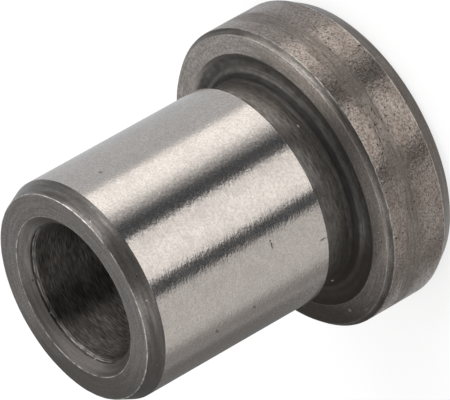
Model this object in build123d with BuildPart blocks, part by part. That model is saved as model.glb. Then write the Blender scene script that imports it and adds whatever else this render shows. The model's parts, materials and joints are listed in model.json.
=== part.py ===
from build123d import *
import math
import os

# Flanged bushing, turned from one bar of steel, hardened, then ground on the surfaces that fit.
# It stands on its head: the axis is +Z, the shank points up, and the origin is the centre of
# the head's outer face. Sizes are in millimetres.

# Bore, shank and head
bore_diameter = 10.0
shank_wall = 3.0
head_overhang = 3.0
shank_length = 18.05
head_thickness = 5.95

# Undercut where the shank meets the head. The neck lets the grinding wheel run off the shank,
# and the relief lets it run off the seat. A low ridge stands between the neck's root and the
# relief, which is a shallow round groove.
neck_width = 2.73
neck_depth = 0.5
neck_heel_radius = 0.25
root_radius = 0.8
ridge_reach = 0.7
ridge_drop = 0.13
relief_width = 1.07
relief_depth = 0.14

# Edges, each by its reach along the axis and its depth across it
lead_in_length = 1.15
lead_in_depth = 0.52
inlet_length = 0.6
inlet_depth = 0.85
head_chamfer_length = 1.15
head_chamfer_depth = 0.7
seat_edge_length = 0.4
seat_edge_depth = 0.33

# The shank's inlet ends in a narrow land, left where the boring tool stopped
land_length = 0.2
land_depth = 0.13

# Radii and heights that follow from the sizes above
bore_radius = bore_diameter / 2
shank_radius = bore_radius + shank_wall
head_radius = shank_radius + head_overhang
overall_length = head_thickness + shank_length

neck_radius = shank_radius - neck_depth
neck_top = head_thickness + neck_width
ridge_radius = neck_radius + ridge_reach
ridge_height = head_thickness - ridge_drop
seat_radius = ridge_radius + relief_width
relief_middle = ((ridge_radius + seat_radius) / 2, (ridge_height + head_thickness) / 2 - relief_depth)

# The root is an arc that leaves the neck's wall straight and ends at the ridge
root_turn = math.acos(1 - ridge_reach / root_radius)
root_top = ridge_height + root_radius * math.sin(root_turn)
root_middle = (
    neck_radius + root_radius * (1 - math.cos(root_turn / 2)),
    root_top - root_radius * math.sin(root_turn / 2),
)

land_radius = bore_radius + land_depth
land_top = overall_length - inlet_length
land_bottom = land_top - land_length


def corner(sketch, radius, height):
    """The outline's corner at the given distance from the axis and height."""
    return sketch.vertices().sort_by_distance((radius, height))[0]


def end_face():
    """The flat face at the shank's open end, as the cuts so far have left it."""
    return bushing.faces().filter_by(Axis.Z).sort_by(Axis.Z)[-1]


def head_face():
    """The flat outer face of the head, as the cuts so far have left it."""
    return bushing.faces().filter_by(Axis.Z).sort_by(Axis.Z)[0]


def outer_rim(face):
    """The larger of a ring-shaped face's two circles."""
    return face.edges().sort_by(SortBy.RADIUS)[-1]


def inner_rim(face):
    """The smaller of a ring-shaped face's two circles."""
    return face.edges().sort_by(SortBy.RADIUS)[0]


with BuildPart() as bushing:
    # One turned outline: head, seat, relief, ridge, neck and shank
    with BuildSketch(Plane.XZ) as outline:
        with BuildLine():
            ThreePointArc((seat_radius, head_thickness), relief_middle, (ridge_radius, ridge_height))
            ThreePointArc((ridge_radius, ridge_height), root_middle, (neck_radius, root_top))
            Polyline(
                (neck_radius, root_top),
                (neck_radius, neck_top),
                (shank_radius, neck_top),
                (shank_radius, overall_length),
                (0, overall_length),
                (0, 0),
                (head_radius, 0),
                (head_radius, head_thickness - seat_edge_length),
                (head_radius - seat_edge_depth, head_thickness),
                (seat_radius, head_thickness),
            )
        make_face()
        fillet(corner(outline, neck_radius, neck_top), neck_heel_radius)
    revolve(axis=Axis.Z)

    # The bore runs right through
    Hole(bore_radius)

    # The shank's open end: a slim lead-in outside, and inside the inlet with its land
    chamfer(outer_rim(end_face()), lead_in_depth, lead_in_length, reference=end_face())
    with BuildSketch(Plane.XZ):
        with BuildLine():
            Polyline(
                (0, overall_length),
                (bore_radius + inlet_depth, overall_length),
                (land_radius, land_top),
                (land_radius, land_bottom),
                (bore_radius, land_bottom - land_depth),
                (0, land_bottom - land_depth),
                close=True,
            )
        make_face()
    revolve(axis=Axis.Z, mode=Mode.SUBTRACT)

    # The head's outer face: a slim chamfer on the rim and a plain inlet into the bore
    chamfer(outer_rim(head_face()), head_chamfer_depth, head_chamfer_length, reference=head_face())
    chamfer(inner_rim(head_face()), inlet_depth, inlet_length, reference=head_face())

bushing.part.label = "flanged_bushing"
os.makedirs("parts", exist_ok=True)
export_step(bushing.part, "parts/flanged_bushing.step")

print("overall", overall_length, "mm, shank", 2 * shank_radius, "mm, head", 2 * head_radius, "mm")
print("volume", round(bushing.part.volume, 2), "mm3, valid", bushing.part.is_valid)
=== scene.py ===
import json
import logging
import math
from dataclasses import dataclass
from enum import Enum

import bmesh
import bpy
from mathutils import Euler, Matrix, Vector
from mathutils.kdtree import KDTree


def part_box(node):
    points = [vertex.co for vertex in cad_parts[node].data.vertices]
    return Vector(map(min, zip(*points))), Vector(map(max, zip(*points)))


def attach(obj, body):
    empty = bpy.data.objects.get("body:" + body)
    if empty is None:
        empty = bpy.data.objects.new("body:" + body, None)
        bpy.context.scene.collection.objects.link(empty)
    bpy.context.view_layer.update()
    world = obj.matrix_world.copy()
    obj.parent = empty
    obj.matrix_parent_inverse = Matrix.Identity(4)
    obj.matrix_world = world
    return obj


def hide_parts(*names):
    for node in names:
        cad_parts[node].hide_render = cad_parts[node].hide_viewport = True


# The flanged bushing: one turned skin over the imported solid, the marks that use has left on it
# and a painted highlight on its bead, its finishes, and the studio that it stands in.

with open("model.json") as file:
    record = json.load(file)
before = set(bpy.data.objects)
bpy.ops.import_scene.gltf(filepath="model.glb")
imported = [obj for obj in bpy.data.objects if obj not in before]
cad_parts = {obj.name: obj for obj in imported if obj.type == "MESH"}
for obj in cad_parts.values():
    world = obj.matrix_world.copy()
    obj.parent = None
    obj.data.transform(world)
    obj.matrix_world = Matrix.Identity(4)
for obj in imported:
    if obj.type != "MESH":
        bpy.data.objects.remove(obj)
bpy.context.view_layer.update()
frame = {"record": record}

log = logging.getLogger("bushing")

Tree = bpy.types.NodeTree
Node = bpy.types.Node
Socket = bpy.types.NodeSocket
Colour = tuple[float, float, float, float]

# Metres in a millimetre, and the millimetres under which two points of the skin are one
MM = 0.001
SEAM = 0.0005

NODE = "flanged_bushing"

# Places of the lower colour, the upper colour and the result on a Mix node
UNDER, OVER, MIXED = 6, 7, 2

# A quarter turn, as the shader takes it, and how far each seed moves a pattern along X and Y
QUARTER_TURN = 0.25
SEED_SHIFT = (17.0, 5.0)

BLACK: Colour = (0.0, 0.0, 0.0, 1.0)
WHITE: Colour = (1.0, 1.0, 1.0, 1.0)
COOL = "E4F0FF"
PALE_COOL = "F6FAFF"

# An angle past any in the tent, and places past the bushing, for what doesn't end on them
ALL_ROUND = 400.0
NO_END = (90.0, 91.0)


def linear(code: str) -> Colour:
    """Turns an sRGB colour into the linear one that a shader takes.

    Args:
        code: the colour as six hex digits, such as "D4CBC3".

    Returns:
        Red, green and blue as linear light, and 1.
    """
    parts = [int(code[i : i + 2], 16) / 255 for i in (0, 2, 4)]
    return *(p / 12.92 if p <= 0.04045 else ((p + 0.055) / 1.055) ** 2.4 for p in parts), 1.0


def add(tree: Tree, kind: str, inputs: dict | None = None, **settings: object) -> Node:
    """Adds a node with its settings, values and links.

    Args:
        tree: the node tree that it goes into.
        kind: the node's type name.
        inputs: value, socket or node for each input, by name or place. A node stands for its
            first output.
        settings: properties of the node.

    Returns:
        The new node.
    """
    node = tree.nodes.new(kind)
    for key, value in settings.items():
        setattr(node, key, value)
    for key, value in (inputs or {}).items():
        source = value.outputs[0] if isinstance(value, Node) else value
        if isinstance(source, Socket):
            tree.links.new(source, node.inputs[key])
        else:
            node.inputs[key].default_value = source
    return node


def blank_material(name: str) -> tuple[bpy.types.Material, Tree]:
    """Makes a material with an empty node tree.

    Args:
        name: the material's name.

    Returns:
        The material and its tree.
    """
    material = bpy.data.materials.new(name)
    material.use_nodes = True
    material.node_tree.nodes.clear()
    return material, material.node_tree


def link_object(name: str, data: bpy.types.ID) -> bpy.types.Object:
    """Makes an object of a mesh, a lamp or a camera and puts it in the scene.

    Args:
        name: the object's name.
        data: what it is made of.

    Returns:
        The object, at the origin.
    """
    thing = bpy.data.objects.new(name, data)
    bpy.context.scene.collection.objects.link(thing)
    return thing


def stage_object(
    name: str, skin: bmesh.types.BMesh, material: bpy.types.Material
) -> bpy.types.Object:
    """Makes an object of a mesh that is finished.

    Args:
        name: the object's name.
        skin: the mesh, which is freed.
        material: its material.

    Returns:
        The object, at the origin.
    """
    mesh = bpy.data.meshes.new(name)
    skin.to_mesh(mesh)
    skin.free()
    mesh.materials.append(material)
    return link_object(name, mesh)


class Surface(Enum):
    """The finishes that the stretches of the bushing's outline have."""

    BORE = "reamed_bore"
    INLET = "turned_inlet"
    END_FACE = "faced_end"
    LEAD_IN = "turned_lead_in"
    SHANK = "ground_shank"
    RECESS = "turned_undercut"
    SEAT = "ground_seat"
    RIM = "turned_seat_edge"
    WALL = "hardened_head_wall"
    BACK = "turned_head_face"


@dataclass(frozen=True)
class Corner:
    """A corner of the turned outline, in millimetres.

    Attributes:
        radius: distance from the axis.
        height: height above the head's outer face.
        rounding: radius that the edge is rounded to.
        surface: how the stretch that follows the corner was made.
        wear: how far the edge is rubbed bright, from 0 to 1.
    """

    radius: float
    height: float
    rounding: float
    surface: Surface
    wear: float = 0.0

    @property
    def place(self) -> Vector:
        """The corner as a flat vector of radius and height."""
        return Vector((self.radius, self.height))


@dataclass(frozen=True)
class OutlinePoint:
    """A point of the outline, with what the lathe tree and the finishes read there.

    Attributes:
        place: radius and height in millimetres.
        along: distance from the outline's start, in millimetres.
        wear: how far the edge there is rubbed bright, from 0 to 1.
    """

    place: Vector
    along: float
    wear: float


@dataclass
class TurnedOutline:
    """The bushing's outline, in millimetres, gone round from the middle of the bore.

    The radii and lengths that the record states come from the frame, and the rest are the
    sizes of the undercut and the edges.

    Attributes:
        bore: radius of the bore.
        shank: radius of the shank.
        head: radius of the head.
        length: overall length.
        seat: height of the seat, which the underside of the head rests on.
        shank_foot: height where the shank's ground surface starts.
        shank_tip: height where it ends.
        neck_depth: how far the neck lies below the shank.
        neck_heel: radius where the neck turns out to the shank.
        root_radius: radius of the neck's root.
        root_fit: share of it that fits between the root's ends.
        ridge_reach: how far the ridge past the root lies outside the neck.
        ridge_drop: how far it lies below the seat.
        relief_width: width of the round groove between the ridge and the seat.
        relief_depth: depth of that groove.
        relief_fit: share of the groove's radius that fits between its ends.
        lead_in_depth: how far the lead-in chamfer takes the shank's end in.
        inlet_depth: how far the inlets open the bore's mouths.
        inlet_length: length of the inlets.
        land_length: length of the land inside the shank's inlet.
        land_depth: how far the land lies outside the bore.
        head_chamfer_length: length of the chamfer round the head's outer face.
        head_chamfer_depth: how far it takes the face in.
        seat_edge_length: length of the chamfer round the seat.
        seat_edge_depth: how far it takes the seat in.
        plain_step: the longest step between points on a straight stretch.
        support: distance of the first and last of them from the stretch's ends.
        fine_arc: radius of an arc that gets the fewest steps.
        arc_steps: its steps, with more on larger ones.
    """

    bore: float
    shank: float
    head: float
    length: float
    seat: float
    shank_foot: float
    shank_tip: float
    neck_depth: float = 0.5
    neck_heel: float = 0.25
    root_radius: float = 0.8
    root_fit: float = 0.97
    ridge_reach: float = 0.7
    ridge_drop: float = 0.13
    relief_width: float = 1.07
    relief_depth: float = 0.14
    relief_fit: float = 0.95
    lead_in_depth: float = 0.52
    inlet_depth: float = 0.85
    inlet_length: float = 0.6
    land_length: float = 0.2
    land_depth: float = 0.13
    head_chamfer_length: float = 1.15
    head_chamfer_depth: float = 0.7
    seat_edge_length: float = 0.4
    seat_edge_depth: float = 0.33
    plain_step: float = 0.6
    support: float = 0.05
    fine_arc: float = 0.1
    arc_steps: int = 4

    @classmethod
    def from_frame(cls) -> "TurnedOutline":
        """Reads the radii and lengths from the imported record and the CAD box.

        Returns:
            The outline with those sizes and the usual undercut and edges.
        """
        mounts = {mount["name"]: mount for mount in frame["record"]["mounts"]}
        low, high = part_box(NODE)
        shank = mounts["shank"]
        middle = shank["pos_m"][2] / MM
        half = shank["dims"]["length_mm"] / 2
        return cls(
            bore=mounts["bore"]["dims"]["r_mm"],
            shank=shank["dims"]["r_mm"],
            head=(high.x - low.x) / 2 / MM,
            length=(high.z - low.z) / MM,
            seat=mounts["seat"]["pos_m"][2] / MM,
            shank_foot=middle - half,
            shank_tip=middle + half,
        )

    def corners(self) -> list[Corner]:
        """Lists the outline's corners from the bore's middle up, over and back.

        Returns:
            The corners in order, the last on the first's place.
        """
        s = Surface
        middle = self.length / 2
        land = self.bore + self.land_depth
        land_top = self.length - self.inlet_length
        land_foot = land_top - self.land_length
        neck = self.shank - self.neck_depth
        ridge = Vector((neck + self.ridge_reach, self.seat - self.ridge_drop))
        turn = math.acos(1 - self.ridge_reach / self.root_radius)
        root = ridge.y + self.ridge_reach / math.tan(turn)
        root_rounding = self.root_fit * self.root_radius
        seat_edge = Vector((ridge.x + self.relief_width, self.seat))
        relief, relief_radius = self.hollow(ridge, seat_edge)
        rim = self.head - self.seat_edge_depth
        mouth = self.bore + self.inlet_depth
        # Radius, height, rounding, finish of the stretch that follows, and wear
        return [
            Corner(self.bore, middle, 0, s.BORE),
            Corner(self.bore, land_foot - self.land_depth, 0.02, s.BORE, 0.4),
            Corner(land, land_foot, 0.03, s.BORE, 0.8),
            Corner(land, land_top, 0.03, s.INLET),
            Corner(mouth, self.length, 0.03, s.END_FACE, 0.8),
            Corner(self.shank - self.lead_in_depth, self.length, 0.04, s.LEAD_IN, 1.0),
            Corner(self.shank, self.shank_tip, 0.1, s.SHANK),
            Corner(self.shank, self.shank_foot, 0.03, s.RECESS),
            Corner(neck, self.shank_foot, self.neck_heel, s.RECESS),
            Corner(neck, root, root_rounding, s.RECESS),
            Corner(ridge.x, ridge.y, 0.08, s.RECESS),
            Corner(relief.x, relief.y, self.relief_fit * relief_radius, s.RECESS),
            Corner(seat_edge.x, seat_edge.y, 0.03, s.SEAT, 0.2),
            Corner(rim, self.seat, 0.06, s.RIM, 0.12),
            Corner(self.head, self.seat - self.seat_edge_length, 0.06, s.WALL, 0.8),
            Corner(self.head, self.head_chamfer_length, 0.12, s.BACK, 1.0),
            Corner(self.head - self.head_chamfer_depth, 0, 0.1, s.BACK, 0.5),
            Corner(mouth, 0, 0.06, s.BACK, 0.4),
            Corner(self.bore, self.inlet_length, 0.05, s.BORE, 0.2),
            Corner(self.bore, middle, 0, s.BORE),
        ]

    def hollow(self, start: Vector, end: Vector) -> tuple[Vector, float]:
        """Finds the corner that the relief groove rounds.

        Args:
            start: where the groove starts.
            end: where it ends.

        Returns:
            The place where the straight lines that leave both ends meet, and the groove's
            radius.
        """
        half = (end - start) / 2
        turn = 2 * math.atan(self.relief_depth / half.length)
        down = Vector((half.y, -half.x))
        return start + half + down * math.tan(turn), half.length / math.sin(turn)

    def arc(self, before: Corner, at: Corner, after: Corner) -> list[Vector]:
        """Rounds a corner with an arc that touches both of its stretches.

        Args:
            before: the corner before it.
            at: the corner that is rounded.
            after: the corner after it.

        Returns:
            The arc's points, or the corner itself where it isn't rounded.
        """
        if not at.rounding:
            return [at.place]
        come = (at.place - before.place).normalized()
        leave = (after.place - at.place).normalized()
        turn = come.angle_signed(leave)
        start = at.place - come * at.rounding * math.tan(abs(turn) / 2)
        side = Vector((come.y, -come.x)) * math.copysign(at.rounding, turn)
        centre = start + side
        spoke = start - centre
        steps = max(2, round(self.arc_steps * max(1.0, at.rounding / self.fine_arc) ** 0.5))
        points = []
        for step in range(steps + 1):
            angle = -turn * step / steps
            cos, sin = math.cos(angle), math.sin(angle)
            turned = Vector((spoke.x * cos - spoke.y * sin, spoke.x * sin + spoke.y * cos))
            points.append(centre + turned)
        return points

    def stretch(self, start: Vector, end: Vector) -> list[Vector]:
        """Divides a straight stretch, with a support point near each of its ends.

        Args:
            start: where the stretch starts.
            end: where it ends.

        Returns:
            The points between the two, without them.
        """
        length = (end - start).length
        if length < 3 * self.support:
            return []
        inner = length - 2 * self.support
        steps = max(1, math.ceil(inner / self.plain_step))
        way = (end - start) / length
        return [start + way * (self.support + inner * i / steps) for i in range(steps + 1)]

    def trace(self) -> tuple[list[OutlinePoint], list[tuple[float, float, Surface]]]:
        """Walks the outline once round.

        Returns:
            The outline's points, and for each stretch where it starts, where it ends, both in
            millimetres along the outline, and its finish.
        """
        corners = self.corners()
        points = [OutlinePoint(corners[0].place, 0.0, 0.0)]
        stretches = []
        begun = 0.0
        for i in range(1, len(corners)):
            corner = corners[i]
            last = i == len(corners) - 1
            turned = [corner.place] if last else self.arc(corners[i - 1], corner, corners[i + 1])
            worn = [(p, 0.0) for p in self.stretch(points[-1].place, turned[0])]
            worn += [(p, corner.wear) for p in turned]
            for place, wear in worn:
                along = points[-1].along + (place - points[-1].place).length
                points.append(OutlinePoint(place, along, wear))
            # The finish changes at the middle of a rounded corner
            end = points[-1 if last else -1 - len(turned) // 2].along
            stretches.append((begun, end, corners[i - 1].surface))
            begun = end
        return points, stretches

    def mesh(self, hub: float) -> bpy.types.Mesh:
        """Makes the outline an open chain of edges, as the lathe tree takes it.

        Args:
            hub: radius of the circle that the chain is swept round, in millimetres.

        Returns:
            The chain, in metres, with its along and wear stored at its points.
        """
        points, _ = self.trace()
        chain = bpy.data.meshes.new("outline")
        spots = [((p.place.x - hub) * MM, -p.place.y * MM, 0) for p in points]
        chain.from_pydata(spots, [(i, i + 1) for i in range(len(spots) - 1)], [])
        for name in ("along", "wear"):
            layer = chain.attributes.new(name, "FLOAT", "POINT")
            layer.data.foreach_set("value", [getattr(p, name) for p in points])
        return chain


@dataclass
class LatheTree:
    """Geometry nodes that turn an outline round the axis and rub its edges unevenly.

    Attributes:
        stretches: where each finish starts and ends along the outline.
        materials: the material of each finish.
        segments: how many flats the skin has round the axis.
        hub: radius of the circle that the outline is swept round, in millimetres.
        rub_depth: how far a worn edge is pressed in at most, in millimetres.
        rub_size: size of the uneven places on it, in millimetres.
        rub_levels: noise levels where they start and where they are deepest.
        seed: which of many patterns they follow.
    """

    stretches: list[tuple[float, float, Surface]]
    materials: dict[Surface, bpy.types.Material]
    segments: int = 400
    hub: float = 1.0
    rub_depth: float = 0.012
    rub_size: float = 1.1
    rub_levels: tuple[float, float] = (0.38, 0.68)
    seed: float = 7.0

    def __post_init__(self) -> None:
        """Builds the tree, with the sizes above as its inputs."""
        self.tree = bpy.data.node_groups.new("turn_outline", "GeometryNodeTree")
        face = self.tree.interface
        for side in ("INPUT", "OUTPUT"):
            face.new_socket("Geometry", in_out=side, socket_type="NodeSocketGeometry")
        self.sizes = {
            "Segments": self.segments,
            "Hub Radius": self.hub * MM,
            "Rub Depth": self.rub_depth * MM,
            "Rub Size": self.rub_size * MM,
            "Seed": self.seed,
        }
        self.sockets = {}
        for name, value in self.sizes.items():
            kind = "NodeSocketInt" if isinstance(value, int) else "NodeSocketFloat"
            socket = face.new_socket(name, in_out="INPUT", socket_type=kind)
            self.sockets[name] = socket.identifier
        self.given = add(self.tree, "NodeGroupInput").outputs
        skin = self.rub(self.turn())
        skin = add(self.tree, "GeometryNodeSetShadeSmooth", {"Geometry": skin})
        skin = add(self.tree, "GeometryNodeRealizeInstances", {"Geometry": skin})
        add(self.tree, "NodeGroupOutput", {"Geometry": self.dress(skin)})

    def turn(self) -> Node:
        """Sweeps the outline round the hub circle.

        Returns:
            The node that gives the turned skin.
        """
        tree, given = self.tree, self.given
        chain = add(tree, "GeometryNodeMeshToCurve", {"Mesh": given["Geometry"]})
        sizes = {"Resolution": given["Segments"], "Radius": given["Hub Radius"]}
        circle = add(tree, "GeometryNodeCurvePrimitiveCircle", sizes)
        skin = add(tree, "GeometryNodeCurveToMesh", {"Curve": circle, "Profile Curve": chain})
        along = add(tree, "GeometryNodeInputNamedAttribute", {"Name": "along"})
        stored = {"Geometry": skin, "Name": "stretch", "Value": along}
        skin = add(tree, "GeometryNodeStoreNamedAttribute", stored, domain="FACE")
        return add(tree, "GeometryNodeMergeByDistance", {"Geometry": skin, "Distance": SEAM * MM})

    def rub(self, skin: Node) -> Node:
        """Presses the worn edges in by an uneven depth.

        Args:
            skin: the node that gives the turned skin.

        Returns:
            The node that gives the rubbed skin.
        """
        tree, given = self.tree, self.given
        wear = add(tree, "GeometryNodeInputNamedAttribute", {"Name": "wear"})
        fine = add(tree, "ShaderNodeMath", {0: 1.0, 1: given["Rub Size"]}, operation="DIVIDE")
        pattern = {"Scale": fine, "Detail": 3.0, "Roughness": 0.6, "W": given["Seed"]}
        noise = add(tree, "ShaderNodeTexNoise", pattern, noise_dimensions="4D")
        low, high = self.rub_levels
        levels = {"Value": noise, "From Min": low, "From Max": high, "To Max": -1.0}
        uneven = add(tree, "ShaderNodeMapRange", levels)
        amount = add(tree, "ShaderNodeMath", {0: wear, 1: uneven}, operation="MULTIPLY")
        product = {0: amount, 1: given["Rub Depth"]}
        depth = add(tree, "ShaderNodeMath", product, operation="MULTIPLY")
        inward = {0: add(tree, "GeometryNodeInputNormal"), "Scale": depth}
        shift = add(tree, "ShaderNodeVectorMath", inward, operation="SCALE")
        return add(tree, "GeometryNodeSetPosition", {"Geometry": skin, "Offset": shift})

    def dress(self, skin: Node) -> Node:
        """Gives each stretch of the skin its finish.

        Args:
            skin: the node that gives the skin.

        Returns:
            The last node that sets a material.
        """
        tree = self.tree
        along = add(tree, "GeometryNodeInputNamedAttribute", {"Name": "stretch"})
        for start, end, surface in self.stretches:
            after = add(tree, "FunctionNodeCompare", {0: along, 1: start}, operation="GREATER_THAN")
            until = add(tree, "FunctionNodeCompare", {0: along, 1: end}, operation="LESS_EQUAL")
            both = add(tree, "FunctionNodeBooleanMath", {0: after, 1: until}, operation="AND")
            choice = {"Geometry": skin, "Selection": both, "Material": self.materials[surface]}
            skin = add(tree, "GeometryNodeSetMaterial", choice)
        return skin

    def cut(self, outline: TurnedOutline, name: str) -> bpy.types.Object:
        """Runs the tree on an outline and keeps the result as a plain mesh.

        Args:
            outline: the outline that is turned.
            name: the new piece's name.

        Returns:
            The piece, at the origin.
        """
        piece = link_object(name, outline.mesh(self.hub))
        modifier = piece.modifiers.new("turn", "NODES")
        modifier.node_group = self.tree
        for label, value in self.sizes.items():
            modifier[self.sockets[label]] = value
        graph = bpy.context.evaluated_depsgraph_get()
        skin = bpy.data.meshes.new_from_object(
            piece.evaluated_get(graph), preserve_all_data_layers=True, depsgraph=graph
        )
        piece.modifiers.clear()
        piece.data = skin
        skin.name = name
        return piece


class MarkKind(Enum):
    """What handling and rust have left on the surface, and a bright speck painted as a highlight.
    """

    NICK = "nick"
    PIT = "pit"
    BEAD = "bead"
    STAIN = "stain"
    SPECK = "speck"


@dataclass(frozen=True)
class Mark:
    """One small mark and its place.

    Attributes:
        kind: what it is.
        bearing: degrees round the axis from the front, towards +X.
        radius: distance from the axis, in millimetres.
        height: height above the head's outer face, in millimetres.
        length: its longer size, in millimetres.
        width: its shorter size, in millimetres.
        turn: degrees between its length and the way round the axis.
        depth: how far it goes in, in millimetres.
        strength: how strongly it colours the steel, from 0 to 1.
    """

    kind: MarkKind
    bearing: float
    radius: float
    height: float
    length: float
    width: float
    turn: float = 0.0
    depth: float = 0.0
    strength: float = 1.0

    @property
    def place(self) -> Vector:
        """The mark's place, in metres."""
        angle = math.radians(self.bearing)
        across, front = self.radius * math.sin(angle), self.radius * math.cos(angle)
        return Vector((across, -front, self.height)) * MM


@dataclass
class MarkMaker:
    """Cuts marks into the turned skin, on a mesh that is divided finely round each.

    Attributes:
        piece: the piece that is marked.
        segments: how many flats the skin has round the axis.
        grain: size of the mesh inside a mark, in millimetres.
        slack: how many times longer than the grain an edge may stay.
        coarse: half the size of the skin's largest face, in millimetres.
        margin: radius that is divided round a mark, as a share of its length.
        rounds: the most times that the faces are halved.
        lip: how far the edge of a nick is pushed up, as a share of its depth.
        lip_ring: where that lip is highest, as a share of the nick's own half size.
        lip_width: how wide it is, in the same measure.
    """

    piece: bpy.types.Object
    segments: int
    grain: float = 0.035
    slack: float = 1.5
    coarse: float = 0.4
    margin: float = 0.75
    rounds: int = 6
    lip: float = 0.35
    lip_ring: float = 1.25
    lip_width: float = 0.3

    def apply(self, marks: list[Mark]) -> None:
        """Cuts all marks and stores how each colours the steel.

        Args:
            marks: the marks.
        """
        skin = bmesh.new()
        skin.from_mesh(self.piece.data)
        stain = skin.verts.layers.float.new("stain")
        gleam = skin.verts.layers.float.new("gleam")
        self.refine(skin, marks)
        verts = list(skin.verts)
        tree = self.finder([vert.co for vert in verts])
        for mark in marks:
            normal = verts[tree.find(mark.place)[1]].normal.normalized()
            angle = math.radians(mark.bearing)
            across = Vector((math.cos(angle), math.sin(angle), 0))
            up = normal.cross(across)
            turn = math.radians(mark.turn)
            long = across * math.cos(turn) + up * math.sin(turn)
            short = up * math.cos(turn) - across * math.sin(turn)
            layer = gleam if mark.kind is MarkKind.SPECK else stain
            for place, index, _ in tree.find_range(mark.place, mark.length * MM):
                offset = (place - mark.place) * 2 / MM
                ring = math.hypot(offset.dot(long) / mark.length, offset.dot(short) / mark.width)
                fill = max(0.0, 1 - ring * ring)
                rise = -fill * mark.depth
                if mark.kind is MarkKind.NICK:
                    away = (ring - self.lip_ring) / self.lip_width
                    rise += self.lip * mark.depth * math.exp(-(away**2))
                vert = verts[index]
                vert.co += normal * rise * MM
                vert[layer] = max(vert[layer], min(1.0, 2 * fill) * mark.strength)
        skin.to_mesh(self.piece.data)
        skin.free()

    def finder(self, places: list[Vector]) -> KDTree:
        """Makes a tree that finds the nearest of many places.

        Args:
            places: the places.

        Returns:
            The tree.
        """
        tree = KDTree(len(places))
        for index, place in enumerate(places):
            tree.insert(place, index)
        tree.balance()
        return tree

    def refine(self, skin: bmesh.types.BMesh, marks: list[Mark]) -> None:
        """Divides the faces round the marks until they are as small as the grain.

        Args:
            skin: the mesh.
            marks: the marks.
        """
        longest = self.slack * self.grain * MM
        for _ in range(self.rounds):
            faces = list(skin.faces)
            tree = self.finder([face.calc_center_median() for face in faces])
            near = set()
            for mark in marks:
                reach = self.margin * mark.length * MM
                for _, index, away in tree.find_range(mark.place, reach + self.coarse * MM):
                    edges = faces[index].edges
                    size = max(edge.calc_length() for edge in edges)
                    if away <= reach + size / 2:
                        near.update(edge for edge in edges if edge.calc_length() > longest)
            if not near:
                break
            made = bmesh.ops.subdivide_edges(skin, edges=list(near), cuts=1, use_grid_fill=True)
            for item in made["geom_inner"]:
                if isinstance(item, bmesh.types.BMVert):
                    self.true_up(item)
        skin.normal_update()

    def true_up(self, vert: bmesh.types.BMVert) -> None:
        """Moves a new vertex out from its chord onto the circle of its ring.

        Args:
            vert: the vertex.
        """
        half = math.pi / self.segments
        angle = math.atan2(vert.co.y, vert.co.x) % (2 * half) - half
        swell = math.cos(angle) / math.cos(half)
        vert.co.x *= swell
        vert.co.y *= swell


class Way(Enum):
    """The ways that a layer may be limited along: shares of X, Y and Z, or out from the axis."""

    # Towards the left and the back left, layers lay painted shade on the side away from the light.
    TO_LEFT = (-1.0, 0.0, 0.0)
    TO_BACK_LEFT = (-0.87, 0.5, 0.0)
    HEIGHT = (0.0, 0.0, 1.0)
    RADIUS = ()


@dataclass(frozen=True)
class Layer:
    """Something that machining, hardening or handling has left on the steel.

    Attributes:
        name: what it is.
        colour: its colour.
        size: width of its lines or patches, in millimetres.
        run: how far they run round the axis, in millimetres.
        low: noise level where they start to show.
        high: noise level where they show in full.
        share: how much of the colour shows at most, from 0 to 1.
        rough: how much roughness it adds.
        depth: how far it goes in, in millimetres.
        way: the way that it is limited along, or none.
        start: where along that way it starts and where it is full, in millimetres.
        end: where it starts to fade and where it ends.
        ragged: how uneven its limits are, in millimetres.
    """

    name: str
    colour: str
    size: float
    run: float
    low: float = 0.3
    high: float = 0.7
    share: float = 1.0
    rough: float = 0.0
    depth: float = 0.0
    way: Way | None = None
    start: tuple[float, float] = (0.0, 0.0)
    end: tuple[float, float] = NO_END
    ragged: float = 0.0


@dataclass(frozen=True)
class SteelFinish:
    """A finish of the hardened steel.

    Attributes:
        name: the material's name.
        colour: the steel's own colour.
        roughness: its roughness between the layers.
        metal: how much of it is bare metal, the rest being oxide or oil.
        layers: what lies over it, from the lowest to the highest.
        rings: whether its machining lines are rings on a face or a chamfer. On a wall they go
            round at each height.
        brushed: how much further it scatters light along the axis than round it, from 0 to 1.
        rub: how bright the worn edges show, from 0 to 1.
        rubbed: colour of edges that are rubbed bright, and of bright specks, the bead's painted
            highlight among them.
        stained: colour of stains.
    """

    name: str
    colour: str
    roughness: float
    metal: float
    layers: tuple[Layer, ...]
    rings: bool = False
    brushed: float = 0.0
    rub: float = 0.6
    rubbed: str = "D9D3CE"
    stained: str = "2B2320"


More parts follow.
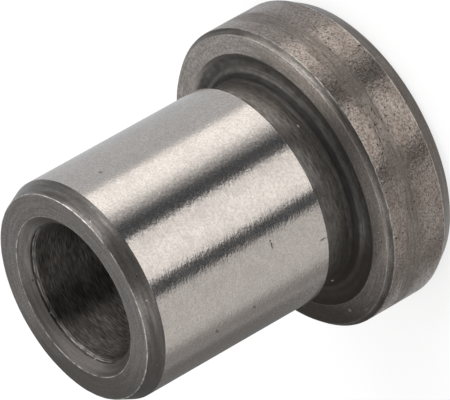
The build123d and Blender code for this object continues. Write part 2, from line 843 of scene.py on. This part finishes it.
@dataclass
class FinishTree:
    """The shader nodes of a finish.

    The place on the bushing, its distance from the axis, and the place that lines are drawn at,
    with the way across them as Z, are made once and shared by all layers.

    Attributes:
        finish: the finish.
        worn_patch: size of the bright patches on a worn edge, in millimetres.
        worn_levels: noise levels where they start and where they are full.
        worn_seed: which of many patterns they follow.
        ragged_patch: size of the bays in a layer's ragged limit, in millimetres.
        ragged_levels: noise levels of the innermost and the outermost of them.
        ragged_seed: which of many patterns the first layer's bays follow.
    """

    finish: SteelFinish
    worn_patch: float = 0.5
    worn_levels: tuple[float, float] = (0.33, 0.6)
    worn_seed: int = 11
    ragged_patch: float = 0.6
    ragged_levels: tuple[float, float] = (0.25, 0.75)
    ragged_seed: int = 30

    def __post_init__(self) -> None:
        """Starts the material and finds the shared places, in millimetres."""
        self.material, self.tree = blank_material(self.finish.name)
        tree = self.tree
        where = {0: add(tree, "ShaderNodeTexCoord").outputs["Object"], "Scale": 1 / MM}
        self.place = add(tree, "ShaderNodeVectorMath", where, operation="SCALE")
        level = {0: self.place, 1: (1, 1, 0)}
        flat = add(tree, "ShaderNodeVectorMath", level, operation="MULTIPLY")
        length = add(tree, "ShaderNodeVectorMath", {0: flat}, operation="LENGTH")
        self.radius = length.outputs["Value"]
        self.drawn = self.place
        if self.finish.rings:
            across = add(tree, "ShaderNodeSeparateXYZ", {"Vector": self.place}).outputs
            ringed = {"X": across["X"], "Y": across["Y"], "Z": self.radius}
            self.drawn = add(tree, "ShaderNodeCombineXYZ", ringed)

    def build(self) -> bpy.types.Material:
        """Lays the layers, the wear and the marks over the steel.

        Returns:
            The material.
        """
        tree, finish = self.tree, self.finish
        base: Socket | Colour = linear(finish.colour)
        rough: Node | float = finish.roughness
        height: Node | float = 0.0
        for index, layer in enumerate(finish.layers):
            mask = self.mask(layer, index)
            base = self.tint(base, mask, layer.colour, layer.share)
            if layer.rough:
                raised = {0: mask, 1: layer.rough, 2: rough}
                rough = add(tree, "ShaderNodeMath", raised, operation="MULTIPLY_ADD")
            if layer.depth:
                sunk = {0: mask, 1: -layer.depth, 2: height}
                height = add(tree, "ShaderNodeMath", sunk, operation="MULTIPLY_ADD")
        patch = self.worn_patch
        broken = self.noise(patch, patch, self.worn_seed, self.worn_levels)
        for name, shown, colour, share in (
            ("wear", broken, finish.rubbed, finish.rub),
            ("stain", 1.0, finish.stained, 1.0),
            # Gleam: bright specks, among them the bead's painted highlight.
            ("gleam", 1.0, finish.rubbed, 1.0),
        ):
            mask = add(tree, "ShaderNodeAttribute", attribute_name=name).outputs["Fac"]
            mask = add(tree, "ShaderNodeMath", {0: mask, 1: shown}, operation="MULTIPLY")
            base = self.tint(base, mask, colour, share)
        surface = {
            "Base Color": base,
            "Metallic": finish.metal,
            "Roughness": rough,
            "Normal": add(tree, "ShaderNodeBump", {"Height": height, "Distance": MM}),
        }
        if finish.brushed:
            surface["Anisotropic"] = finish.brushed
            surface["Anisotropic Rotation"] = QUARTER_TURN
            surface["Tangent"] = add(tree, "ShaderNodeTangent", direction_type="RADIAL", axis="Z")
        steel = add(tree, "ShaderNodeBsdfPrincipled", surface)
        add(tree, "ShaderNodeOutputMaterial", {"Surface": steel})
        return self.material

    def noise(self, size: float, run: float, seed: int, levels: tuple[float, float]) -> Node:
        """Draws lines or patches.

        Args:
            size: width of the lines or patches, in millimetres.
            run: how far they run round the axis, in millimetres.
            seed: which of many patterns they follow.
            levels: noise levels that count as 0 and as 1.

        Returns:
            The node that gives them, from 0 to 1.
        """
        shift = (SEED_SHIFT[0] * seed, SEED_SHIFT[1] * seed, 0.0)
        scaled = {0: self.drawn, 1: (1 / run, 1 / run, 1 / size), 2: shift}
        spread = add(self.tree, "ShaderNodeVectorMath", scaled, operation="MULTIPLY_ADD")
        pattern = {"Vector": spread, "Scale": 1.0, "Detail": 2.0, "Roughness": 0.55}
        noise = add(self.tree, "ShaderNodeTexNoise", pattern)
        shown = {"Value": noise, "From Min": levels[0], "From Max": levels[1]}
        return add(self.tree, "ShaderNodeMapRange", shown)

    def mask(self, layer: Layer, index: int) -> Node:
        """Says where a layer shows.

        Args:
            layer: the layer.
            index: its number.

        Returns:
            The node that gives how much of the layer shows, from 0 to 1.
        """
        tree = self.tree
        shown = self.noise(layer.size, layer.run, index, (layer.low, layer.high))
        if layer.way is None:
            return shown
        at = self.radius
        if layer.way is not Way.RADIUS:
            way = {0: self.place, 1: layer.way.value}
            at = add(tree, "ShaderNodeVectorMath", way, operation="DOT_PRODUCT").outputs["Value"]
        if layer.ragged:
            patch, seed = self.ragged_patch, self.ragged_seed + index
            uneven = {0: self.noise(patch, patch, seed, self.ragged_levels), 1: layer.ragged, 2: at}
            at = add(tree, "ShaderNodeMath", uneven, operation="MULTIPLY_ADD")
        begun, ended = [
            add(tree, "ShaderNodeMapRange", {"Value": at, "From Min": low, "From Max": high})
            for low, high in (layer.start, layer.end)
        ]
        inside = add(tree, "ShaderNodeMath", {0: begun, 1: ended}, operation="SUBTRACT")
        return add(tree, "ShaderNodeMath", {0: shown, 1: inside}, operation="MULTIPLY")

    def tint(self, base: Socket | Colour, mask: Node, colour: str, share: float) -> Socket:
        """Lays a colour over another where a mask says so.

        Args:
            base: the colour below.
            mask: where the other colour shows, from 0 to 1.
            colour: the colour that is laid over it.
            share: how much of it shows at most, from 0 to 1.

        Returns:
            The socket that gives the result.
        """
        factor = add(self.tree, "ShaderNodeMath", {0: mask, 1: share}, operation="MULTIPLY")
        colours = {"Factor": factor, UNDER: base, OVER: linear(colour)}
        return add(self.tree, "ShaderNodeMix", colours, data_type="RGBA").outputs[MIXED]


@dataclass(frozen=True)
class Panel:
    """A soft box, a wall or a black flag of the light tent.

    Attributes:
        name: what it is.
        start: its first edge in degrees, as a bearing from the front towards +X, or as an
            elevation.
        end: its last edge.
        level: how bright it is, where 1 is white.
        start_blur: width over which the first edge fades in, in degrees.
        end_blur: width over which the last edge fades out.
        tint: its colour.
        foot: elevations between which it fades in above the floor, or none.
    """

    name: str
    start: float
    end: float
    level: float
    start_blur: float = 4.0
    end_blur: float = 4.0
    tint: str = "FFFFFF"
    foot: tuple[float, float] | None = None

    @property
    def light(self) -> Colour:
        """The panel's light, as linear red, green and blue, and 1."""
        return *(self.level * part for part in linear(self.tint)[:3]), 1.0


@dataclass
class LightTent:
    """A round tent of soft boxes and black flags that only reflections see.

    It also stands for the floor and the walls there. A place on it is known by its elevation,
    its bearing, and the leaning bearing that the lower panels' edges follow.

    Attributes:
        radius: the tent's radius, in metres.
        slant: how far a lower panel's edge leans, in degrees of bearing for each of height.
        slant_level: elevation at which a lower panel's edges have the bearings given.
        rise: where the upper panels take over, as the lowest and highest elevation in degrees.
        lower: the panels at the height of the object and below, a later one over an earlier.
        ground: the lit floor near the object, by its elevations.
        upper: the panels above the object.
        gap: the dark gap between the two rows, by its elevations.
        top: the soft box overhead, by its elevations.
    """

    radius: float = 0.2
    slant: float = 0.3
    slant_level: float = -30.0
    rise: tuple[float, float] = (8.0, 24.0)
    lower: tuple[Panel, ...] = (
        Panel("room", -ALL_ROUND, ALL_ROUND, 0.6),
        Panel("left wall, far part", -122, -94, 0.3, 20, 16),
        Panel("left wall, near part", -91, -36, 0.69, 36, 2.5),
        Panel("left flag", -36.4, -20.5, 0.08, 4, 4, COOL),
        Panel("front soft box", -20.5, 23.8, 1.12, 4, 4.5),
        Panel("front soft box, middle", -12, 9, 1.26, 10, 12),
        Panel("middle flag", 23.8, 60, 0.085, 4.5, 26, COOL),
        Panel("right soft box", 50.5, 85, 1.42, 30, 10),
        Panel("right wall", 88, 190, 0.66, 10, 8, PALE_COOL),
        Panel("back wall", -190, -120, 0.19, 8, 8, foot=(-29.4, -27.6)),
    )
    ground: Panel = Panel("lit floor", -ALL_ROUND, -58, 0.5, end_blur=16)
    upper: tuple[Panel, ...] = (
        Panel("upper room", -ALL_ROUND, ALL_ROUND, 0.53),
        Panel("upper left soft box", -150, -24, 1.6, 30, 20),
        Panel("upper flag", -24, 40, 0.03, 20, 12),
        Panel("upper right soft box", 40, 130, 3.9, 14, 24),
    )
    gap: Panel = Panel("gap between the rows", 8, 24, 0.15, 10, 6)
    top: Panel = Panel("top soft box", 65, ALL_ROUND, 0.9, start_blur=20)

    def __post_init__(self) -> None:
        """Starts the material and finds the angles of each place on the tent, in degrees."""
        self.material, self.tree = blank_material("tent_light")
        self.material.cycles.emission_sampling = "NONE"
        tree = self.tree
        where = {0: add(tree, "ShaderNodeTexCoord").outputs["Object"]}
        way = add(tree, "ShaderNodeVectorMath", where, operation="NORMALIZE")
        axes = add(tree, "ShaderNodeSeparateXYZ", {"Vector": way}).outputs
        rise = add(tree, "ShaderNodeMath", {0: axes["Z"]}, operation="ARCSINE")
        self.elevation = add(tree, "ShaderNodeMath", {0: rise}, operation="DEGREES")
        front = add(tree, "ShaderNodeMath", {0: axes["Y"], 1: -1.0}, operation="MULTIPLY")
        turn = add(tree, "ShaderNodeMath", {0: axes["X"], 1: front}, operation="ARCTAN2")
        self.bearing = add(tree, "ShaderNodeMath", {0: turn}, operation="DEGREES")
        height = {0: self.elevation, 1: self.slant, 2: -self.slant_level * self.slant}
        lean = add(tree, "ShaderNodeMath", height, operation="MULTIPLY_ADD")
        leant = {0: self.bearing, 1: lean}
        self.leaning = add(tree, "ShaderNodeMath", leant, operation="ADD")

    def build(self) -> bpy.types.Object:
        """Makes the tent.

        Returns:
            The tent's sphere, hidden from everything but reflections.
        """
        self.hang()
        skin = bmesh.new()
        bmesh.ops.create_uvsphere(skin, u_segments=64, v_segments=32, radius=self.radius)
        tent = stage_object("light_tent", skin, self.material)
        tent.visible_camera = False
        tent.visible_diffuse = False
        tent.visible_transmission = False
        tent.visible_shadow = False
        return tent

    def hang(self) -> None:
        """Hangs the rows of panels up in the tent, and lights it with them."""
        tree = self.tree
        below = self.laid(BLACK, self.lower, self.leaning)
        below = self.laid(below, (self.ground,), self.elevation)
        above = self.laid(BLACK, self.upper, self.bearing)
        rows = {"Factor": self.step(self.elevation, *self.rise), UNDER: below, OVER: above}
        seen = add(tree, "ShaderNodeMix", rows, data_type="RGBA").outputs[MIXED]
        seen = self.laid(seen, (self.gap, self.top), self.elevation)
        light = add(tree, "ShaderNodeEmission", {"Color": seen, "Strength": 1.0})
        add(tree, "ShaderNodeOutputMaterial", {"Surface": light})

    def step(self, angle: Node, low: float, high: float) -> Node:
        """Gives a soft step from 0 to 1.

        Args:
            angle: the angle that the step is taken on, in degrees.
            low: where it starts.
            high: where it ends.

        Returns:
            The node that gives the step.
        """
        ends = {"Value": angle, "From Min": low, "From Max": high}
        return add(self.tree, "ShaderNodeMapRange", ends, interpolation_type="SMOOTHSTEP")

    def shown(self, panel: Panel, angle: Node) -> Node:
        """Says where a panel shows.

        Args:
            panel: the panel.
            angle: the angle that its edges are given in.

        Returns:
            The node that gives how much of it shows, from 0 to 1.
        """
        edges = ((panel.start, panel.start_blur / 2), (panel.end, panel.end_blur / 2))
        begun, ended = [self.step(angle, edge - half, edge + half) for edge, half in edges]
        inside = add(self.tree, "ShaderNodeMath", {0: begun, 1: ended}, operation="SUBTRACT")
        if panel.foot is None:
            return inside
        standing = {0: inside, 1: self.step(self.elevation, *panel.foot)}
        return add(self.tree, "ShaderNodeMath", standing, operation="MULTIPLY")

    def laid(self, under: Socket | Colour, panels: tuple[Panel, ...], angle: Node) -> Socket:
        """Lays panels over a light.

        Args:
            under: the light below them.
            panels: the panels, a later one over an earlier one.
            angle: the angle that their edges are given in.

        Returns:
            The socket that gives the light.
        """
        for panel in panels:
            lights = {"Factor": self.shown(panel, angle), UNDER: under, OVER: panel.light}
            under = add(self.tree, "ShaderNodeMix", lights, data_type="RGBA").outputs[MIXED]
        return under


@dataclass
class Studio:
    """The floor, the lamp, the tent and the white room.

    Attributes:
        floor_size: radius of the floor, in metres.
        floor_colour: the floor's colour.
        lamp_distance: distance of the soft lamp, in metres.
        lamp_bearing: degrees that it stands round from the front, towards +X.
        lamp_elevation: degrees that it stands above the floor.
        lamp_size: its width, in metres.
        lamp_power: its power, in watts.
        shadow: how much of the object's shadow the camera sees on the white floor, from 0 to 1.
    """

    floor_size: float = 3.0
    floor_colour: str = "F7F7F7"
    lamp_distance: float = 0.5
    lamp_bearing: float = 60.0
    lamp_elevation: float = 50.0
    lamp_size: float = 0.3
    lamp_power: float = 1.1
    shadow: float = 0.25

    def build(self) -> None:
        """Puts up the floor, the lamp, the tent and the room."""
        tent = LightTent().build()
        self.floor()
        self.lamp()
        self.room()

    def floor(self) -> bpy.types.Object:
        """Makes the plain pale floor that the bushing stands on.

        Returns:
            The floor, hidden from reflections.
        """
        material, tree = blank_material("pale_floor")
        # The camera sees it white but for the shadow. The tent stands for it in reflections.
        paper = add(tree, "ShaderNodeBsdfDiffuse", {"Color": linear(self.floor_colour)})
        white = add(tree, "ShaderNodeEmission", {"Strength": 1.0})
        seen = add(tree, "ShaderNodeLightPath").outputs["Is Camera Ray"]
        pale = add(tree, "ShaderNodeMath", {0: seen, 1: 1 - self.shadow}, operation="MULTIPLY")
        mixed = add(tree, "ShaderNodeMixShader", {0: pale, 1: paper, 2: white})
        add(tree, "ShaderNodeOutputMaterial", {"Surface": mixed})
        skin = bmesh.new()
        bmesh.ops.create_circle(skin, cap_ends=True, segments=64, radius=self.floor_size)
        floor = stage_object("floor", skin, material)
        floor.visible_glossy = False
        return floor

    def lamp(self) -> None:
        """Sets up the soft lamp that gives the object its shadow on the floor."""
        light = bpy.data.lights.new("soft_lamp", "AREA")
        light.shape = "DISK"
        light.size = self.lamp_size
        light.energy = self.lamp_power
        lamp = link_object("soft_lamp", light)
        tilt = math.radians(90 - self.lamp_elevation)
        turn = Euler((tilt, 0, math.radians(self.lamp_bearing)))
        lamp.rotation_euler = turn
        lamp.location = turn.to_matrix() @ Vector((0, 0, self.lamp_distance))
        lamp.visible_glossy = False

    def room(self) -> None:
        """Makes the room white all round."""
        world = bpy.data.worlds.new("white_room")
        world.use_nodes = True
        sky = world.node_tree.nodes["Background"]
        sky.inputs["Color"].default_value = WHITE
        sky.inputs["Strength"].default_value = 1.0
        world.cycles_visibility.glossy = False
        bpy.context.scene.world = world
        bpy.context.scene.view_settings.view_transform = "Standard"


@dataclass
class PhotoCamera:
    """The camera at the photograph's viewing angle.

    Attributes:
        tilt: degrees between the line of sight and straight down.
        roll: degrees that the camera is turned about its line of sight.
        distance: distance of the end face, in millimetres.
        aside: the end face's middle from the picture's middle, right and up, in millimetres.
        focal: the lens, in pixels of the photograph.
        width: the photograph's width, in pixels.
        sensor: width of the camera's sensor, in millimetres.
    """

    tilt: float = 60.31
    roll: float = 240.565
    distance: float = 480.0
    aside: tuple[float, float] = (-9.95, -6.374)
    focal: float = 7328.3
    width: int = 450
    sensor: float = 36.0

    def build(self) -> bpy.types.Object:
        """Sets the camera up.

        Returns:
            The camera, which is also the scene's.
        """
        lens = bpy.data.cameras.new("photo_camera")
        lens.sensor_width = self.sensor
        lens.lens = self.focal / self.width * self.sensor
        camera = link_object("photo_camera", lens)
        turn = Euler((math.radians(self.tilt), 0, 0)).to_matrix()
        turn = turn @ Euler((0, 0, math.radians(self.roll))).to_matrix()
        seen = Vector((*self.aside, -self.distance)) * MM
        _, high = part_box(NODE)
        camera.location = Vector((0, 0, high.z)) - turn @ seen
        camera.rotation_euler = turn.to_euler()
        bpy.context.scene.camera = camera
        return camera


@dataclass
class Bushing:
    """The flanged bushing, turned, worn and finished.

    Attributes:
        outline: its outline.
        finishes: the finish of each stretch of it.
        marks: its nicks, pits, stains and specks.
    """

    outline: TurnedOutline
    finishes: dict[Surface, SteelFinish]
    marks: list[Mark]

    def build(self) -> bpy.types.Object:
        """Turns the bushing and dresses it.

        Returns:
            The finished piece.
        """
        _, stretches = self.outline.trace()
        materials = {name: FinishTree(finish).build() for name, finish in self.finishes.items()}
        lathe = LatheTree(stretches, materials)
        piece = lathe.cut(self.outline, "bushing_skin")
        MarkMaker(piece, lathe.segments).apply(self.marks)
        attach(piece, "root")
        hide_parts(NODE)
        return piece


def lines(colour: str, size: float, run: float, depth: float) -> Layer:
    """Describes the fine lines that a cutting tool or a grinding wheel leaves."""
    return Layer("machining lines", colour, size, run, rough=0.05, depth=depth)


def grain(colour: str, size: float, share: float) -> Layer:
    """Describes the fine grain of hardened steel."""
    return Layer("grain", colour, size, size, low=0.4, high=0.65, share=share)


def bushing_finishes() -> dict[Surface, SteelFinish]:
    """Lists the finishes of the hardened bearing steel, from the bore to the head.

    The real machining lines are 0.02 to 0.05 mm apart and the real grain is about 0.02 mm.
    Both are drawn 0.09 to 0.16 mm wide, so that they show in the render.

    Returns:
        The finish of each surface.
    """
    back_left, upright, outward = Way.TO_BACK_LEFT, Way.HEIGHT, Way.RADIUS
    # Finish: name, colour, roughness and metal. Layer: name, colour, size, run, low, high,
    # share, rough and depth.
    return {
        # The reamed bore is dark with oil, and its lines scatter light up and down the axis.
        Surface.BORE: SteelFinish(
            "reamed_steel_bore", "827D79", 0.5, 0.95, brushed=0.9,
            layers=(
                lines("2E2B29", 0.09, 0.6, 0.003),
                Layer("oil film and painted shade", "3A3633", 1.0, 1.6, 0.3, 0.6, 0.5),
            ),
        ),
        # Faces and chamfers are turned before hardening, so they stay dull, dark and ringed.
        Surface.INLET: SteelFinish(
            "turned_steel_inlet", "6B6764", 0.42, 0.75, rings=True,
            layers=(
                lines("4A4643", 0.16, 3.0, 0.005),
                grain("3E3A38", 0.13, 0.4),
                # Painted shade, darker towards the back left.
                Layer("oil film and painted shade", "37332F", 1.5, 2.5, 0.1, 0.3, 0.5, 0.05,
                      way=back_left, start=(-1.0, 3.0), ragged=0.6),
            ),
        ),
        Surface.END_FACE: SteelFinish(
            "faced_steel_end", "918D8A", 0.35, 0.85, rings=True,
            layers=(
                lines("767270", 0.14, 2.5, 0.002),
                grain("484542", 0.13, 0.55),
                # Painted shade, darker towards the back left.
                Layer("oil film and painted shade", "45413E", 1.5, 2.5, 0.1, 0.3, 0.7, 0.05,
                      way=back_left, start=(3.0, 6.2), ragged=1.0),
            ),
        ),
        Surface.LEAD_IN: SteelFinish(
            "turned_steel_lead_in", "8A8682", 0.28, 0.85, rings=True,
            layers=(
                lines("605C59", 0.14, 2.5, 0.005),
                grain("55514E", 0.13, 0.45),
                # Painted shade, darker towards the back left.
                Layer("oil film and painted shade", "5C5855", 1.5, 2.5, 0.1, 0.3, 0.6, 0.05,
                      way=back_left, start=(0.5, 5.0), ragged=1.0),
                Layer("bright specks", "D9D3CE", 0.14, 0.14, 0.7, 0.76, 0.7),
            ),
        ),
        # Cylindrical grinding leaves the shank bright, with short fine lines round it.
        Surface.SHANK: SteelFinish(
            "ground_steel_shank", "DED6CF", 0.12, 1.0,
            layers=(
                lines("CFC7C0", 0.12, 0.45, 0.003),
                grain("A39C95", 0.13, 0.5),
                Layer("wheel marks", "C6BEB7", 0.22, 0.3, 0.3, 0.7, 0.15, depth=0.003),
                Layer("faint clouds", "B5ADA7", 0.9, 1.2, 0.45, 0.7, 0.3, 0.03),
            ),
        ),
        # The undercut is a turned groove that grinding never reached. Painted shade darkens its
        # root, its part next to the head, the groove past the ridge and its left side, and painted
        # light brightens the ridge and its rise to the seat.
        Surface.RECESS: SteelFinish(
            "turned_steel_undercut", "85817D", 0.27, 0.85,
            layers=(
                lines("5A5754", 0.15, 0.7, 0.006),
                grain("4A4744", 0.12, 0.35),
                # Painted shade, darkest next to the head and fading up the neck.
                Layer("painted shade band", "2A2826", 1.0, 1.5, 0.0, 0.2, 0.35, 0.1,
                      way=upright, start=(4.0, 5.0), end=(6.3, 7.4)),
                # Painted shade in the root corner of the undercut.
                Layer("painted shade in the root", "1A1817", 0.5, 1.0, 0.0, 0.2, 0.85, 0.2,
                      way=outward, start=(7.505, 7.6), end=(7.84, 8.0)),
                # Painted highlight along the ridge.
                Layer("painted highlight on the ridge", "BDB7B1", 0.4, 0.8, 0.0, 0.3, 0.08,
                      way=outward, start=(7.98, 8.08), end=(8.15, 8.24)),
                Layer("shade past the ridge", "2A2826", 0.6, 1.2, 0.0, 0.3, 0.4, 0.1,
                      way=outward, start=(8.2, 8.28), end=(8.4, 8.65)),
                # Painted light where the groove rises to the seat.
                Layer("painted light on the rise to the seat", "B9B2AC", 0.4, 0.8, 0.0, 0.4, 0.4,
                      way=outward, start=(8.9, 9.15), end=(9.5, 9.6)),
                # Painted shade, darker towards the left.
                Layer("oil film and painted shade", "3F3A36", 0.8, 1.2, 0.0, 0.3, 0.9, 0.35,
                      way=Way.TO_LEFT, start=(5.6, 7.4), ragged=0.4),
            ),
        ),
        # The seat is ground on its flat, which leaves rings and short marks across them.
        Surface.SEAT: SteelFinish(
            "ground_steel_seat", "DBD4CE", 0.3, 0.95, rings=True,
            layers=(
                lines("AEA7A1", 0.14, 1.6, 0.005),
                Layer("cross marks", "857F7A", 1.0, 0.2, 0.42, 0.62, 0.5, 0.05, 0.004),
                grain("6E6863", 0.14, 0.4),
                # Painted shade, darker towards the back left.
                Layer("oil film and painted shade", "3C352F", 0.8, 1.2, 0.0, 0.35, 0.97, 0.1,
                      way=back_left, start=(-1.0, 9.8), ragged=0.6),
            ),
        ),
        # The chamfer round the seat is turned, and painted shade darkens its outer part, where it
        # meets the wall.
        Surface.RIM: SteelFinish(
            "turned_steel_seat_edge", "837D78", 0.33, 0.9, rings=True,
            layers=(
                lines("4F4B48", 0.12, 2.0, 0.004),
                grain("3A3734", 0.13, 0.5),
                # Painted shade on the chamfer's outer part, dimming the line at its edge.
                Layer("painted shade band", "3A3632", 0.5, 1.2, 0.0, 0.3, 0.5, 0.05,
                      way=outward, start=(10.76, 10.92), ragged=0.04),
            ),
        ),
        # The head's wall keeps its furnace bloom and is only polished by handling, with a
        # band that is scuffed dull where the bushing was held.
        Surface.WALL: SteelFinish(
            "hardened_steel_head_wall", "B0A59D", 0.16, 0.85,
            layers=(
                lines("998E86", 0.12, 0.8, 0.005),
                Layer("brown bloom", "8B7D74", 1.3, 1.9, 0.4, 0.66, 0.75, 0.08),
                grain("4E453F", 0.13, 0.75),
                Layer("uneven skin", "A0968E", 0.28, 0.34, 0.3, 0.7, 0.2, depth=0.01),
                Layer("scuffed band", "7A726B", 0.17, 2.6, 0.2, 0.6, 0.8, 0.2, 0.012,
                      way=upright, start=(3.1, 3.5), end=(4.3, 4.7), ragged=0.25),
                Layer("dark scratches", "4E463F", 0.12, 2.2, 0.52, 0.66, 0.45, 0.1, 0.01,
                      way=upright, start=(3.0, 3.3), end=(4.5, 4.8), ragged=0.2),
                Layer("furnace pits", "3A322D", 0.22, 0.24, 0.65, 0.72, 0.9, 0.1, 0.025),
            ),
        ),
        # The head's outer face and chamfer are turned, and brown as the furnace left them.
        Surface.BACK: SteelFinish(
            "turned_steel_head_face", "948B83", 0.3, 0.9, rings=True,
            layers=(lines("6E665F", 0.14, 2.5, 0.003), grain("554D47", 0.13, 0.5)),
        ),
    }


def bushing_marks() -> list[Mark]:
    """Lists the nicks, pits, stains and bright specks, and one bead of dried liquid with a speck
    painted as its highlight.

    Returns:
        The marks.
    """
    nick, pit, bead = MarkKind.NICK, MarkKind.PIT, MarkKind.BEAD
    stain, speck = MarkKind.STAIN, MarkKind.SPECK
    # Kind, bearing, radius, height, length, width, turn, depth and strength
    return [
        Mark(nick, -25.4, 8.0, 13.14, 0.5, 0.14, 0, 0.05, 0.8),
        Mark(nick, -36.5, 8.0, 9.07, 0.5, 0.14, 90, 0.05, 0.8),
        Mark(stain, 51, 8.0, 20.4, 0.35, 0.25, 30, 0, 0.5),
        Mark(stain, -55, 8.0, 18.4, 0.5, 0.2, 30, 0, 0.5),
        Mark(stain, -53, 8.0, 15.2, 0.4, 0.2, 30, 0, 0.5),
        Mark(bead, -83, 7.5, 6.8, 0.4, 0.34, 0, -0.12, 0),
        # A speck painted as the bead's highlight.
        Mark(speck, -83, 7.5, 6.8, 0.3, 0.26, 0, 0, 0.7),
        Mark(pit, -74.5, 7.5, 7.05, 0.85, 0.32, -30, 0.07, 0.7),
        Mark(speck, 19.8, 7.5, 6.86, 0.3, 0.1, 0, 0, 1),
        Mark(pit, -42, 10.08, 5.95, 0.25, 0.18, 0, 0.05, 0.8),
        Mark(pit, -38.4, 10.06, 5.95, 0.2, 0.15, 0, 0.05, 0.8),
        Mark(pit, -5.6, 7.77, 23.35, 0.22, 0.16, 0, 0.04, 0.9),
        Mark(pit, 154, 5.23, 23.49, 0.22, 0.16, 0, 0.04, 0.9),
        Mark(speck, -17.5, 11.0, 5.4, 0.26, 0.1, 60, 0, 1),
        Mark(pit, -40, 11.0, 5.35, 0.25, 0.15, 0, 0.04, 0.8),
        Mark(speck, 182, 5.13, 23.3, 0.16, 0.12, 0, 0, 1),
        Mark(speck, 236, 5.13, 23.3, 0.16, 0.12, 0, 0, 0.8),
    ]


def main() -> None:
    """Builds the bushing and its studio, in order."""
    logging.basicConfig(level=logging.INFO, format="%(name)s: %(message)s")
    bushing = Bushing(TurnedOutline.from_frame(), bushing_finishes(), bushing_marks())
    piece = bushing.build()
    log.info("%s has %d vertices", piece.name, len(piece.data.vertices))
    Studio().build()
    log.info("the studio is up")
    camera = PhotoCamera().build()
    log.info("the camera is at %s", tuple(round(c, 4) for c in camera.location))


if __name__ == "__main__":
    main()
